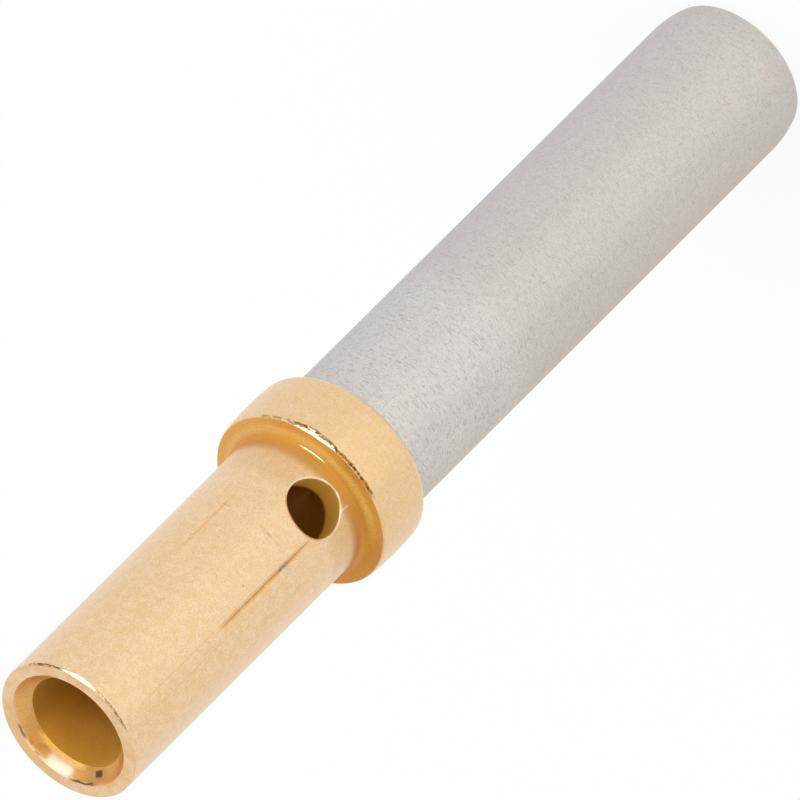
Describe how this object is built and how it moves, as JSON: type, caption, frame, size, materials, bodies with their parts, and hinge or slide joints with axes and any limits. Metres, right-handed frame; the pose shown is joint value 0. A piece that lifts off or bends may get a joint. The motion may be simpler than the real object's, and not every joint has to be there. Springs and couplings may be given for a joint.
{
  "type": "crimp socket contact",
  "caption": "Turned crimp socket contact: a plated wire barrel with an inspection hole and a flange, and slotted spring tines inside a pressed-on steel hood, to join a wire to a pin.",
  "frame": {"origin": "centre of the hood's flat end, on the contact's axis", "axes": "+Z along the contact's axis, from the hood's end to the mouth of the wire barrel; the inspection hole faces -Y"},
  "size_m": [0.0034, 0.0034, 0.0188],
  "materials": {
    "plating": "satin gold plating over a turned copper alloy",
    "hood_steel": "satin tumbled stainless steel"
  },
  "bodies": {
    "root": {"contact_body": "plating", "hood": "hood_steel"}
  },
  "joints": []
}
